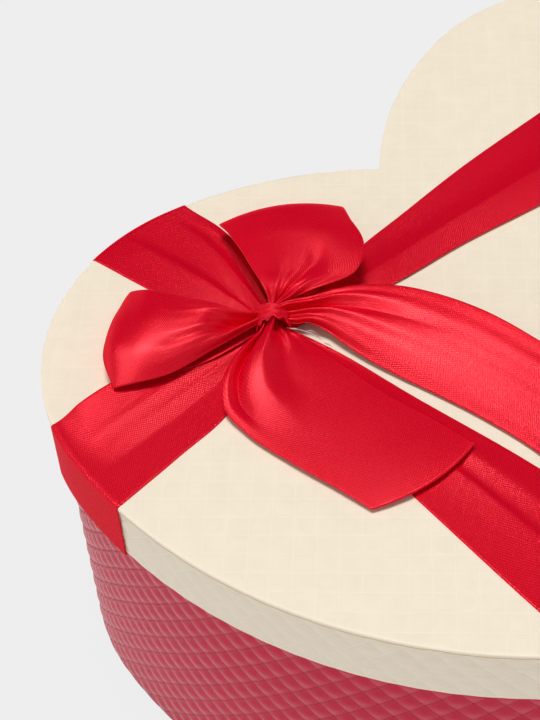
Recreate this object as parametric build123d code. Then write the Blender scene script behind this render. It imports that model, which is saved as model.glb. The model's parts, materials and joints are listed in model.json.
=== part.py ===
from build123d import *
import os
from math import acos, atan2, cos, degrees, hypot, pi, radians, sin

# A rigid heart-shaped gift box with a lift-off lid and a ribbon bow, in millimetres.
# The box stands on Z = 0 with its middle on the Z axis, the heart's tip points to -Y and
# the bow sits on the lobe at -X.

# Overall sizes of the closed box, measured over the lid
box_width = 310.0
box_length = 311.0
box_height = 116.0

# Heart outline of the lid: every arc runs into the next one without a corner
lobe_radius = 74.0
shoulder_turn = 11.6
cleft_depth = 36.5
side_radius = 162.0
side_bulge = 1.0
tip_radius = 10.0

# Sheet stock
board = 1.5
paper = 0.4

# Lid
skirt_depth = 22.0
rim_lap = 1.5
lid_play = 0.5

# Base
foot_turn_in = 14.0
mouth_turn_in = 15.0

# Ribbon and the two straps on the lid
ribbon_width = 38.0
ribbon = 0.3
ribbon_tuck = 12.0
knot_from_lobe = 2.5
knot_below_cleft = 31.0
strap_neck = 11.0
long_strap_flare = 110.0
cross_strap_flare = 148.0
cross_strap_drift = 8.0
strap_rise = 5.0

# Bow
knot_length = 13.0
knot_width = 11.0
knot_height = 9.5
knot_rounding = 3.0
lie_gap = 0.2
loop_height = 13.0
loop_neck = 8.0
loop_neck_low = 1.2
loop_neck_high = 8.0
left_loop_reach = 51.0
left_loop_heading = 147.0
upper_loop_reach = 49.0
upper_loop_heading = 45.0
tail_neck_height = 5.0
tail_settle = 26.0
tail_bend_radius = 15.0
short_tail_length = 76.0
short_tail_heading = -96.0
short_tail_edge_radius = 5.0
long_tail_length = 113.0
long_tail_heading = -78.0
long_tail_edge_radius = 20.0
long_tail_tilt = -11.0
long_tail_lift = 8.0
glue_length = 8.0
glue_width = 3.0
glue_height = 1.4
glue_offset_x = 5.0
glue_offset_y = -13.5

# Length by which cutting bodies stand past what they cut
overrun = 20.0

# Plan edges of the two tails: along the heading as shares of the tail's length, and
# across it, to the left of the heading, as shares of the ribbon's width
short_tail_left_shares = ((0.083, -0.13), (0.12, -0.57), (0.19, -0.82), (0.27, -0.84), (0.98, -0.52))
short_tail_right_shares = ((0.97, 0.48), (0.24, 0.27), (0.083, 0.13))
long_tail_far_shares = ((-0.022, 0.197), (0.06, 0.52), (0.21, 0.90), (0.42, 1.00), (0.65, 0.97), (1.0, 0.73))
long_tail_near_shares = ((0.94, -0.12), (0.63, 0.02), (0.25, 0.16), (0.056, 0.148))

# Heights and levels
half_width = box_width / 2
back = box_length / 2
front = -box_length / 2
cleft_y = back - cleft_depth
lobe_x = half_width - lobe_radius - side_bulge
knot_x = knot_from_lobe - lobe_x
knot_y = cleft_y - knot_below_cleft
lid_top = box_height
skirt_foot = lid_top - skirt_depth
mouth = lid_top - paper - board - paper
crossing_top = lid_top + 2 * ribbon
bow_bed = crossing_top + lie_gap

# Insets from the lid's outline, from the outermost sheet inwards
skirt_wrap_face = paper
skirt_board_face = skirt_wrap_face + paper
skirt_board_back = skirt_board_face + board
skirt_inside = skirt_board_back + paper
base_face = skirt_inside + ribbon + lid_play
wall_face = base_face + paper
wall_back = wall_face + board
base_inside = wall_back + paper

# Levels in the base
floor_low = paper
floor_top = floor_low + board
lining_top = floor_top + paper
turn_in_low = mouth - mouth_turn_in


def on_circle(center, radius, angle):
    return (center[0] + radius * cos(angle), center[1] + radius * sin(angle))


def arc_between(center, radius, start, end):
    return CenterArc(center, radius, degrees(start), degrees(end - start))


# Centres of the outline's arcs on the +X side and the angles at which they meet.
# The side arc swallows the lobe arc and swells a little past it.
lobe = (lobe_x, back - lobe_radius)
side_start = acos(1 - side_bulge / (side_radius - lobe_radius))
side = on_circle(lobe, lobe_radius - side_radius, side_start)
# The shoulder arc leaves the lobe a little past its top and ends in the cleft
shoulder_start = pi / 2 + radians(shoulder_turn)
shoulder_end = on_circle(lobe, lobe_radius, shoulder_start)
shoulder_span = (shoulder_end[0], shoulder_end[1] - cleft_y)
shoulder_sag = shoulder_span[0] * cos(shoulder_start) + shoulder_span[1] * sin(shoulder_start)
shoulder_radius = hypot(*shoulder_span) ** 2 / (2 * shoulder_sag)
shoulder = on_circle(shoulder_end, -shoulder_radius, shoulder_start)
# A straight flank touches the side arc and the small arc at the tip
tip = (0, front + tip_radius)
side_to_tip = (tip[0] - side[0], tip[1] - side[1])
flank = atan2(side_to_tip[1], side_to_tip[0]) + acos((side_radius - tip_radius) / hypot(*side_to_tip))


def heart(inset):
    """Heart-shaped face, its outline drawn in by a constant distance."""
    shoulder_inset = shoulder_radius - inset
    half = []
    if inset > 0:
        # Sheets and boards bend round the cleft
        cleft_angle = atan2(cleft_y - shoulder[1], -shoulder[0])
        half.append(arc_between((0, cleft_y), inset, -pi / 2, cleft_angle - pi))
    else:
        cleft_angle = acos(-shoulder[0] / shoulder_inset)
    half += [
        arc_between(shoulder, shoulder_inset, cleft_angle, shoulder_start),
        arc_between(lobe, lobe_radius - inset, shoulder_start, side_start),
        arc_between(side, side_radius - inset, side_start, flank),
    ]
    flank_start = on_circle(side, side_radius - inset, flank)
    if inset < tip_radius:
        half.append(Line(flank_start, on_circle(tip, tip_radius - inset, flank)))
        half.append(arc_between(tip, tip_radius - inset, flank, -pi / 2))
    else:
        # Drawn in past its small arc, the tip is sharp
        half.append(Line(flank_start, (0, tip[1] + (tip_radius - inset) / sin(flank))))
    return make_face(half + [mirror(edge, about=Plane.YZ) for edge in half])


def plate(inset, low, high):
    return extrude(Plane.XY.offset(low) * heart(inset), amount=high - low)


def band(outer, inner, low, high):
    """Upright strip round the heart between two insets."""
    return plate(outer, low, high) - plate(inner, low, high)


def halves(strip):
    """The strip cut in the heart's middle plane: its ends meet in the cleft and at the tip."""
    right = split(strip, bisect_by=Plane.YZ, keep=Keep.TOP)
    left = split(strip, bisect_by=Plane.YZ, keep=Keep.BOTTOM)
    return left, right


def prism(points, low, high):
    """Upright body over a plan outline."""
    return extrude(Plane.XY.offset(low) * make_face(Polyline(*points, close=True)), amount=high - low)


def base_parts():
    wall_left, wall_right = halves(band(wall_face, wall_back, floor_low, mouth - paper))
    wrap = band(base_face, wall_face, 0, mouth)
    wrap += band(base_face, base_face + foot_turn_in, 0, paper)
    wrap += band(base_face, base_inside, mouth - paper, mouth)
    wrap += band(wall_back, base_inside, turn_in_low, mouth)
    return {
        "base_floor_board": plate(wall_back, floor_low, floor_top),
        "base_wall_board_left": wall_left,
        "base_wall_board_right": wall_right,
        "base_wrap": wrap,
        "base_underside_sheet": plate(base_face + foot_turn_in, 0, paper),
        "base_floor_lining": plate(wall_back, floor_top, lining_top),
        "base_wall_lining": band(wall_back, base_inside, lining_top, turn_in_low),
    }


def lid_parts():
    board_top = lid_top - paper
    board_low = board_top - board
    skirt_left, skirt_right = halves(band(skirt_board_face, skirt_board_back, skirt_foot + paper, board_top))
    sheet = plate(0, board_top, lid_top) + band(0, skirt_wrap_face, lid_top - rim_lap, lid_top)
    wrap = band(skirt_wrap_face, skirt_board_face, skirt_foot, board_top)
    wrap += band(skirt_wrap_face, skirt_inside, skirt_foot, skirt_foot + paper)
    wrap += band(skirt_board_back, skirt_inside, skirt_foot, board_low)
    return {
        "lid_top_board": plate(skirt_board_back, board_low, board_top),
        "lid_skirt_board_left": skirt_left,
        "lid_skirt_board_right": skirt_right,
        "lid_top_sheet": sheet,
        "lid_skirt_wrap": wrap,
        "lid_lining": plate(skirt_inside, mouth, board_low),
    }


def rim_fold(zone):
    """Ribbon end inside a zone: over the rim, down the skirt, round its foot and up inside."""
    low = skirt_foot - ribbon
    fold = band(-ribbon, 0, low, lid_top + ribbon)
    fold += band(-ribbon, skirt_inside + ribbon, low, skirt_foot)
    fold += band(skirt_inside, skirt_inside + ribbon, low, skirt_foot + ribbon_tuck)
    return fold & zone


def flank_zone():
    """Zone of the ribbon that slants down the straight left flank of the skirt.

    A flat ribbon folded over an edge keeps its angle to that edge, so it runs down the
    skirt towards the tip.
    """
    outward = Vector(-cos(flank), sin(flank))
    along = Vector(-outward.Y, outward.X)
    touch = on_circle(tip, tip_radius, flank)
    reach = (knot_x + touch[0]) / along.X
    middle = Vector(-touch[0], touch[1]) + along * reach
    face = Plane((middle.X, middle.Y, lid_top), x_dir=along, z_dir=outward)
    half = ribbon_width / 2 / abs(outward.Y)
    slip_share = abs(along.Y / outward.Y)
    rise = ribbon
    drop = -skirt_depth - ribbon
    slant = [
        (-half - rise * slip_share, rise),
        (half - rise * slip_share, rise),
        (half - drop * slip_share, drop),
        (-half - drop * slip_share, drop),
    ]
    return extrude(face * make_face(Polyline(*slant, close=True)), amount=overrun / 2, both=True)


def lengthwise_strap():
    """Ribbon along the heart, gathered under the knot and folded over the rim at both ends."""
    half = ribbon_width / 2
    neck = strap_neck / 2
    far = back + overrun
    near = front
    right = [(half, near), (half, knot_y - long_strap_flare), (neck, knot_y - strap_neck / 2)]
    right += [(neck, knot_y + strap_neck), (half, back), (half, far)]
    outline = [(knot_x + x, y) for x, y in right] + [(knot_x - x, y) for x, y in reversed(right)]
    top = plate(-ribbon, lid_top, lid_top + ribbon) & prism(outline, lid_top, lid_top + ribbon)
    lobe_end = [(knot_x - half, cleft_y), (knot_x + half, cleft_y), (knot_x + half, far), (knot_x - half, far)]
    lobe_zone = prism(lobe_end, skirt_foot - overrun, lid_top + overrun)
    return top + rim_fold(lobe_zone) + rim_fold(flank_zone())


def crosswise_strap():
    """Ribbon across the heart that steps over the lengthwise one under the knot."""
    half = ribbon_width / 2
    neck = strap_neck / 2
    far = half_width + overrun
    low_end = knot_y - cross_strap_drift
    outline = [
        (-far, knot_y - half),
        (-half_width, knot_y - half),
        (knot_x - neck, knot_y - neck),
        (knot_x + neck, knot_y - neck),
        (knot_x + cross_strap_flare, low_end - half),
        (far, low_end - half),
        (far, low_end + half),
        (knot_x + cross_strap_flare, low_end + half),
        (knot_x + neck, knot_y + neck),
        (knot_x - neck, knot_y + neck),
        (-half_width, knot_y + half),
        (-far, knot_y + half),
    ]
    step = neck + strap_rise
    rise = [(-far, 0), (knot_x - step, 0), (knot_x - neck, ribbon), (knot_x + neck, ribbon)]
    rise += [(knot_x + step, 0), (far, 0)]
    side = [(x, lid_top + z) for x, z in rise] + [(x, lid_top + z + ribbon) for x, z in reversed(rise)]
    sheet = extrude(Plane.XZ * make_face(Polyline(*side, close=True)), amount=box_length, both=True)
    top = plate(-ribbon, lid_top, lid_top + 2 * ribbon) & sheet & prism(outline, lid_top, lid_top + overrun)
    left_end = [(-far, knot_y - half), (-half_width / 2, knot_y - half)]
    left_end += [(-half_width / 2, knot_y + half), (-far, knot_y + half)]
    right_end = [(far, low_end - half), (half_width / 2, low_end - half)]
    right_end += [(half_width / 2, low_end + half), (far, low_end + half)]
    strap = top
    for end in (left_end, right_end):
        strap += rim_fold(prism(end, skirt_foot - overrun, lid_top + overrun))
    return strap


def side_plane(heading):
    """Upright plane through the knot, its x along the heading and its y up from the bow's bed."""
    turn = radians(heading)
    return Plane((knot_x, knot_y, bow_bed), x_dir=(cos(turn), sin(turn), 0), z_dir=(sin(turn), -cos(turn), 0))


def plan_plane(heading):
    """Level plane through the knot, its x along the heading."""
    turn = radians(heading)
    return Plane((knot_x, knot_y, bow_bed), x_dir=(cos(turn), sin(turn), 0), z_dir=(0, 0, 1))


def bow_loop(heading, reach):
    """Flattened ribbon loop: out along the lid, over a round fold and back to the knot."""
    near = hypot(knot_length, knot_width) / 2
    fold = loop_height / 2
    center = (reach - fold, fold)
    crown = (reach - fold, loop_height)
    side = make_face(
        [
            Line((near, loop_neck_low), (reach - fold, 0)),
            arc_between(center, fold, -pi / 2, 0),
            arc_between(center, fold, 0, pi / 2),
            TangentArc(crown, (near, loop_neck_high), tangent=(-1, 0)),
            Line((near, loop_neck_high), (near, loop_neck_low)),
        ]
    )
    tube = extrude(side_plane(heading) * (side - offset(side, -ribbon)), amount=ribbon_width, both=True)
    half = ribbon_width / 2
    flare = reach - loop_height
    fan = [(near, -loop_neck / 2), (flare, -half), (reach, -half), (reach, half), (flare, half), (near, loop_neck / 2)]
    plan = extrude(plan_plane(heading) * make_face(Polyline(*fan, close=True)), amount=loop_height)
    return tube & plan


def tail_plan(length, left_shares, right_shares, edge_radius):
    """Plan of a ribbon end: two edges with eased corners, the cut end and the gathered neck."""
    edges = []
    for shares in (left_shares, right_shares):
        points = [(along * length, across * ribbon_width) for along, across in shares]
        edges.append(FilletPolyline(*points, radius=edge_radius))
    left, right = edges
    closing = [Line(left @ 1, right @ 0), Line(right @ 1, left @ 0)]
    return make_face(left.edges() + right.edges() + closing)


def bow_tail(heading, length, plan, lift, tilt):
    """Loose ribbon end: out of the knot, then along the lid to its cut end."""
    path = [(-overrun, tail_neck_height), (0, tail_neck_height), (tail_settle, lift), (length + overrun, lift)]
    lower = FilletPolyline(*path, radius=tail_bend_radius)
    upper = Pos(0, ribbon) * lower
    ends = [Line(lower @ 0, upper @ 0), Line(lower @ 1, upper @ 1)]
    side = make_face(lower.edges() + upper.edges() + ends)
    sheet = extrude(side_plane(heading) * side, amount=2 * ribbon_width, both=True)
    turn = radians(heading)
    sheet = sheet.rotate(Axis((knot_x, knot_y, bow_bed), (cos(turn), sin(turn), 0)), tilt)
    return sheet & extrude(plan_plane(heading) * plan, amount=overrun, both=True)


def knot():
    """Ribbon end wound tightly over the middle of the bow."""
    block = Pos(knot_x, knot_y, crossing_top) * Box(
        knot_length, knot_width, knot_height, align=(Align.CENTER, Align.CENTER, Align.MIN)
    )
    top = block.faces().sort_by(Axis.Z)[-1]
    return fillet(top.edges(), knot_rounding)


def glue():
    """Drop of glue that has run out from under the knot."""
    spot = Pos(knot_x + glue_offset_x, knot_y + glue_offset_y, lid_top + ribbon)
    plan = make_face(
        [
            ThreePointArc((0, -glue_length / 2), (glue_width / 2, 0), (0, glue_length / 2)),
            ThreePointArc((0, glue_length / 2), (-glue_width / 2, 0), (0, -glue_length / 2)),
        ]
    )
    taper = degrees(atan2((glue_width - glue_height) / 2, glue_height))
    return spot * extrude(plan, amount=glue_height, taper=taper)


def ribbon_parts():
    short_plan = tail_plan(
        short_tail_length, short_tail_left_shares, short_tail_right_shares, short_tail_edge_radius
    )
    long_plan = tail_plan(long_tail_length, long_tail_far_shares, long_tail_near_shares, long_tail_edge_radius)
    return {
        "lengthwise_strap": lengthwise_strap(),
        "crosswise_strap": crosswise_strap(),
        "bow_left_loop": bow_loop(left_loop_heading, left_loop_reach),
        "bow_upper_loop": bow_loop(upper_loop_heading, upper_loop_reach),
        "bow_short_tail": bow_tail(short_tail_heading, short_tail_length, short_plan, 0, 0),
        "bow_long_tail": bow_tail(long_tail_heading, long_tail_length, long_plan, long_tail_lift, long_tail_tilt),
        "bow_knot": knot(),
        "glue_dab": glue(),
    }


os.makedirs("parts", exist_ok=True)
for name, part in {**base_parts(), **lid_parts(), **ribbon_parts()}.items():
    export_step(part, f"parts/{name}.step")
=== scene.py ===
import json
from math import acos, atan2, cos, hypot, pi, radians, sin

import bpy
import numpy as np
from bpy.props import FloatProperty, FloatVectorProperty, IntProperty, PointerProperty
from mathutils import Matrix, Vector, noise
from mathutils.geometry import delaunay_2d_cdt
from mathutils.kdtree import KDTree


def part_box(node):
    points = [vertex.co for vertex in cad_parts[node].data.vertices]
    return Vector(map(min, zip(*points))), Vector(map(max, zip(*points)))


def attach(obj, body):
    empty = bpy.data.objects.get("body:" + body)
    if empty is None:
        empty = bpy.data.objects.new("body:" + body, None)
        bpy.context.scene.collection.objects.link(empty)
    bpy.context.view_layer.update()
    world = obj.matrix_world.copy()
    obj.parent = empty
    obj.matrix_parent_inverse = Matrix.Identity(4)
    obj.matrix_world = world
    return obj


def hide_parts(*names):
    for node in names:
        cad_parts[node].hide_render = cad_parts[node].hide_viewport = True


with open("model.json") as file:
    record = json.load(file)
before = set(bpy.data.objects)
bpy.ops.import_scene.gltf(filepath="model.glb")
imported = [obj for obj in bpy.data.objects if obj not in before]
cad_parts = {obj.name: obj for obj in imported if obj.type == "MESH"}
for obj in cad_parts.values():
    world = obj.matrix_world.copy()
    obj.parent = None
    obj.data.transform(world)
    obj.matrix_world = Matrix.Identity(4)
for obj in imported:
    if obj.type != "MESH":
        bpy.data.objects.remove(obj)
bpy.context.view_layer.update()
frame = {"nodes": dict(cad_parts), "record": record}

bl_info = {
    "name": "Heart gift box",
    "version": (1, 0, 0),
    "blender": (4, 5, 0),
    "location": "View3D > Sidebar > Heart Box",
    "description": "Quilted papers, satin straps and the bow of a heart-shaped gift box",
    "category": "Object",
}

MM = 0.001

# Sizes that the frame gives, in metres
lid_low, lid_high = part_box("lid_top_sheet")
skirt_low, skirt_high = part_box("lid_skirt_wrap")
wrap_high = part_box("base_wrap")[1]
sole_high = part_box("base_underside_sheet")[1]
lining_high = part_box("base_wall_lining")[1]
board_low, board_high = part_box("lid_top_board")
knot_low, knot_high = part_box("bow_knot")
half_width, back, lid_top = lid_high
front, lap_foot = lid_low.yz
skirt_foot = skirt_low.z
mouth = wrap_high.z
paper = lid_top - board_high.z
skirt_face = half_width - skirt_high.x
skirt_inside = half_width - board_high.x + paper
base_face = half_width - wrap_high.x
base_inside = half_width - lining_high.x + paper
turn_in_foot = lining_high.z
lid_board_foot = board_low.z
foot_turn_in = half_width - sole_high.x
knot = np.array([(knot_low.x + knot_high.x) / 2, (knot_low.y + knot_high.y) / 2, lid_top])

# Arcs of the lid's outline, as in the part's source
lobe_radius = 74 * MM
shoulder_turn = radians(11.6)
cleft_depth = 36.5 * MM
side_radius = 162 * MM
side_bulge = 1 * MM
tip_radius = 10 * MM


def linear(code):
    """Linear colour of an sRGB hex value."""
    values = [int(code[i : i + 2], 16) / 255 for i in (1, 3, 5)]
    return tuple(v / 12.92 if v <= 0.04045 else ((v + 0.055) / 1.055) ** 2.4 for v in values)


# Settings, with defaults given in mm, in degrees, as hex values and as levels of light


def setting(kind, name, description, default, **hints):
    return kind(name=name, description=description, default=default, **hints)


def length_setting(name, description, size):
    return setting(FloatProperty, name, description, size * MM, unit="LENGTH")


def angle_setting(name, description, turn):
    return setting(FloatProperty, name, description, radians(turn), subtype="ANGLE")


def colour_setting(name, description, code):
    return setting(FloatVectorProperty, name, description, linear(code), subtype="COLOR")


def level_setting(name, description, level):
    return setting(FloatVectorProperty, name, description, (level,) * 3, subtype="COLOR")


def aim_setting(name, description, way):
    return setting(FloatVectorProperty, name, description, way, subtype="DIRECTION")


class PaperSettings(bpy.types.PropertyGroup):
    """Embossed papers, lining and board"""

    quilt_pitch: length_setting("Quilt pitch", "Distance between two stitched lines", 6.35)
    base_relief: length_setting("Base relief", "Height of the diamonds of the base's paper", 0.62)
    skirt_relief: length_setting("Skirt relief", "Height of the diamonds of the skirt's paper", 0.4)
    lid_relief: length_setting("Lid relief", "Depth of the lines in the lid's sheet", 0.04)
    quilt_steps: setting(IntProperty, "Quilt steps", "Mesh steps across one diamond", 8, min=4)
    base_colour: colour_setting("Base paper", "Colour of the base's paper", "#CC183E")
    base_stitch: colour_setting("Base stitching", "Colour in the base's lines", "#9C0624")
    lid_colour: colour_setting("Lid paper", "Colour of the lid's paper", "#F6E9D3")
    lid_stitch: colour_setting("Lid stitching", "Colour in the lid's lines", "#FBF2E1")
    skirt_stitch: colour_setting("Skirt stitching", "Colour in the skirt's lines", "#FFF7E6")
    cut_colour: colour_setting("Cut edge", "Colour of the paper's cut edge", "#DCC08E")
    lining_colour: colour_setting("Lining", "Colour of the lining paper", "#F1EEE8")
    board_colour: colour_setting("Board", "Colour of the greyboard", "#8F887B")


class RibbonSettings(bpy.types.PropertyGroup):
    """Satin ribbon of the straps and the bow"""

    width: length_setting("Width", "Width of the ribbon", 38)
    thickness: length_setting("Thickness", "Thickness of the ribbon", 0.3)
    tuck: length_setting("Tuck", "Length of the strap ends inside the skirt", 12)
    thread: length_setting("Thread spacing", "Spacing of the weave as drawn", 0.6)
    # The weave is painted from the shade colour between the threads, as painted shade, to the
    # ribbon colour on their tops, as painted glints
    colour: colour_setting("Ribbon", "Colour of the satin", "#FF052E")
    shade: colour_setting("Weave shade", "Colour between the threads", "#C80018")
    glue_colour: colour_setting("Glue", "Colour of the set glue", "#E2BFC0")


class StageSettings(bpy.types.PropertyGroup):
    """Camera, floor and light"""

    lens: setting(FloatProperty, "Lens", "Focal length on a 36 mm frame", 85.1, unit="CAMERA")
    heading: angle_setting("Heading", "Camera heading from +X", 50.62)
    dip: angle_setting("Dip", "Angle that the camera looks down by", 47.37)
    roll: angle_setting("Roll", "Camera roll", -4.24)
    place: setting(
        FloatVectorProperty, "Place", "Camera position", (-308.8 * MM, -191.4 * MM, 498.1 * MM),
        subtype="TRANSLATION", unit="LENGTH",
    )
    backdrop: colour_setting("Backdrop", "Colour of the floor and backdrop", "#EEEEEE")
    room: level_setting("Room", "Light from the room above the backdrop", 0.3)
    flag: level_setting("Flag", "Light from the dark flag", 0.02)
    flag_aim: aim_setting("Flag aim", "Direction of the dark flag", (0.52, 0.62, 0.58))
    flag_spread: angle_setting("Flag spread", "Angle from the flag's middle to its edge", 60)
    bright_side: aim_setting("Bright side", "Side of the room that is brighter", (-0.6, 0.8, 0))
    key: setting(FloatProperty, "Key", "Strength of the softbox overhead", 2.24)
    key_aim: aim_setting("Key aim", "Direction of the softbox", (0.02, 0.1, 0.99))
    key_spread: angle_setting("Key spread", "Width of the softbox as an angle", 22)


# Rows of points


def run_lengths(points):
    """Length along a row of points, at each of them."""
    return np.concatenate([[0], np.cumsum(np.linalg.norm(np.diff(points, axis=0), axis=1))])


def unit(vectors):
    return vectors / np.linalg.norm(vectors, axis=-1, keepdims=True)


def smooth(share):
    """Eases a share of 0 to 1 in and out."""
    return share**2 * (3 - 2 * share)


# Heart outline


def on_circle(center, radius, angle):
    return (center[0] + radius * cos(angle), center[1] + radius * sin(angle))


lobe = (half_width - lobe_radius - side_bulge, back - lobe_radius)
side_start = acos(1 - side_bulge / (side_radius - lobe_radius))
side = on_circle(lobe, lobe_radius - side_radius, side_start)
cleft = (0, back - cleft_depth)
shoulder_start = pi / 2 + shoulder_turn
shoulder_end = on_circle(lobe, lobe_radius, shoulder_start)
shoulder_span = (shoulder_end[0], shoulder_end[1] - cleft[1])
shoulder_sag = shoulder_span[0] * cos(shoulder_start) + shoulder_span[1] * sin(shoulder_start)
shoulder_radius = hypot(*shoulder_span) ** 2 / (2 * shoulder_sag)
shoulder = on_circle(shoulder_end, -shoulder_radius, shoulder_start)
cleft_angle = atan2(cleft[1] - shoulder[1], -shoulder[0])
tip = (0, front + tip_radius)
side_to_tip = (tip[0] - side[0], tip[1] - side[1])
flank = atan2(side_to_tip[1], side_to_tip[0])
flank += acos((side_radius - tip_radius) / hypot(*side_to_tip))

# Fine points of the outline's +X half from the cleft to the tip, and the directions of its normals.
# Round the cleft the point stays and the normal turns, so drawn-in outlines bend round it.
arcs = [
    (cleft, 0, pi / 2, cleft_angle),
    (shoulder, shoulder_radius, cleft_angle, shoulder_start),
    (lobe, lobe_radius, shoulder_start, side_start),
    (side, side_radius, side_start, flank),
    (tip, tip_radius, flank, -pi / 2),
]
arc_points = 400
half_angles = np.concatenate([np.linspace(start, end, arc_points) for _, _, start, end in arcs])
half_points = np.concatenate(
    [
        np.array(center) + radius * np.stack([np.cos(turn), np.sin(turn)], 1)
        for (center, radius, _, _), turn in zip(arcs, np.split(half_angles, len(arcs)))
    ]
)


def ways(inset):
    """Length along the half outline, drawn in by an inset, at each of its fine points."""
    drawn = half_points - inset * np.stack([np.cos(half_angles), np.sin(half_angles)], 1)
    return run_lengths(drawn)


def places(along, mirrored, lengths):
    """Points of the lid's outline and outward normals at given lengths along a half."""
    turn = np.interp(along, lengths, half_angles)
    points = np.stack([np.interp(along, lengths, half_points[:, k]) for k in (0, 1)], -1)
    normals = np.stack([np.cos(turn), np.sin(turn)], -1)
    flip = np.stack([np.where(mirrored, -1, 1), np.ones_like(turn)], -1)
    return points * flip, normals * flip


def round_the_heart(count, inset):
    """Evenly spaced points and normals all round, from the cleft over the +X side."""
    lengths = ways(inset)
    along = np.arange(count) * 2 * lengths[-1] / count
    return places(np.minimum(along, 2 * lengths[-1] - along), along > lengths[-1], lengths)


def draw_in(points, normals, inset):
    """The outline drawn in by an inset, with a sharp tip past its small arc."""
    moved = points - inset * normals
    if inset > tip_radius:
        past = (moved[:, 0] * points[:, 0] <= 0) & (points[:, 1] < 0)
        moved[past] = (0, tip[1] + (tip_radius - inset) / sin(flank))
    return moved


# Meshes


def mesh_object(name, points, faces, uv_name=None, uvs=None):
    """Smooth mesh object; uvs has a pair for each corner of each face, in order."""
    mesh = bpy.data.meshes.new(name)
    mesh.from_pydata(points, [], faces)
    if uv_name:
        mesh.uv_layers.new(name=uv_name).data.foreach_set("uv", np.asarray(uvs, np.float32).ravel())
    mesh.polygons.foreach_set("use_smooth", np.ones(len(mesh.polygons), bool))
    mesh.validate()
    mesh.update()
    piece = bpy.data.objects.new(name, mesh)
    bpy.context.scene.collection.objects.link(piece)
    return piece


def grid_faces(rows, columns, close_rows=False, close_columns=False):
    """Quads of a grid, and for each corner its row and column, counted on past a closed seam."""
    row, column = np.meshgrid(
        np.arange(rows - (not close_rows)), np.arange(columns - (not close_columns)), indexing="ij"
    )
    corner_rows = np.stack([row, row + 1, row + 1, row], -1).reshape(-1, 4)
    corner_columns = np.stack([column, column, column + 1, column + 1], -1).reshape(-1, 4)
    return corner_rows, corner_columns, corner_rows % rows * columns + corner_columns % columns


def place_piece(piece, body, node, slot, *materials):
    for material in materials:
        piece.data.materials.append(material)
    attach(piece, body)
    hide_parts(node)


# Papers


def pillows(across, along):
    """Height share of the padded diamonds: 0 on the stitched lines and 1 in the middle of each."""
    fullness = 0.65
    rising = np.abs(np.sin(pi * (across + along)))
    falling = np.abs(np.sin(pi * (across - along)))
    return (rising * falling) ** fullness


def rounded_profile(corners, radius, step):
    """Points along a profile of (inset, height) corners, eased by a radius, and their normals.

    Straight runs are divided by the step, and the normals point to the left of the way.
    """
    bend_shares = (0, 0.3, 0.7, 1)
    points = [corners[0]]
    for before, corner, after in zip(corners, corners[1:], corners[2:]):
        into, out = unit(corner - before), unit(after - corner)
        for share in bend_shares:
            start = corner - into * radius * (1 - share)
            points.append(start + (out * radius * share) * share)
    points.append(corners[-1])
    fine = [points[0]]
    for before, after in zip(points, points[1:]):
        pieces = max(1, round(np.linalg.norm(after - before) / step))
        fine += [before + (after - before) * k / pieces for k in range(1, pieces + 1)]
    fine = np.array(fine)
    way = unit(np.gradient(fine, axis=0))
    return fine, np.stack([-way[:, 1], way[:, 0]], 1)


def wrapped_paper(name, corners, face, relief, settings):
    """Embossed paper that goes round the heart along a profile, from its first corner to its last.

    The diamonds stand out from the outer face and the lines are sunk in it. The turned-in strips
    are pressed flat.
    """
    sunk_share = 0.6
    fold_radius = 0.6 * MM
    pressed_edge = 2.5 * MM
    diagonal = settings.quilt_pitch * 2**0.5
    step = diagonal / settings.quilt_steps
    diamonds = round(2 * ways(face)[-1] / diagonal)
    count = diamonds * settings.quilt_steps
    outer, normals = rounded_profile([np.array(c) for c in corners], fold_radius, step)
    inner = (outer - paper * normals)[::-1]
    runs = run_lengths(outer) / diagonal
    off_folds = np.min([np.linalg.norm(outer - fold, axis=1) for fold in corners], axis=0)
    embossed = np.clip(off_folds / pressed_edge, 0, 1) * (np.abs(outer[:, 0] - face) < paper / 2)
    points, directions = round_the_heart(count, face)
    across = np.arange(count) / settings.quilt_steps
    rings = []
    for (inset, height), (inset_way, height_way), run, share in zip(outer, normals, runs, embossed):
        sunk = relief * share * (pillows(across, run) - sunk_share)
        ring = draw_in(points, directions, inset) - (sunk * inset_way)[:, None] * directions
        rings.append(np.column_stack([ring, height + sunk * height_way]))
    for inset, height in inner:
        ring = draw_in(points, directions, inset)
        rings.append(np.column_stack([ring, np.full(count, height)]))
    rows, columns, faces = grid_faces(len(rings), count, close_rows=True, close_columns=True)
    lengths = np.concatenate([runs, runs[::-1], runs[:1]])
    uvs = np.stack([columns / settings.quilt_steps, lengths[rows]], -1)
    return mesh_object(name, np.concatenate(rings).tolist(), faces.tolist(), "Quilt", uvs)


def inside_rows(outline, step):
    """Grid points inside a closed outline."""
    found = []
    ahead = np.roll(outline, -1, axis=0)
    lowest, highest = outline[:, 1].min(), outline[:, 1].max()
    for row in range(int(np.ceil(lowest / step)), int(highest / step) + 1):
        level = row * step
        cut = (outline[:, 1] <= level) != (ahead[:, 1] <= level)
        share = (level - outline[cut, 1]) / (ahead[cut, 1] - outline[cut, 1])
        crossings = np.sort(outline[cut, 0] + share * (ahead[cut, 0] - outline[cut, 0]))
        for start, end in zip(crossings[::2], crossings[1::2]):
            columns = range(int(np.ceil(start / step)), int(np.floor(end / step)) + 1)
            found += [(k * step, level) for k in columns]
    return np.array(found)


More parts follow.
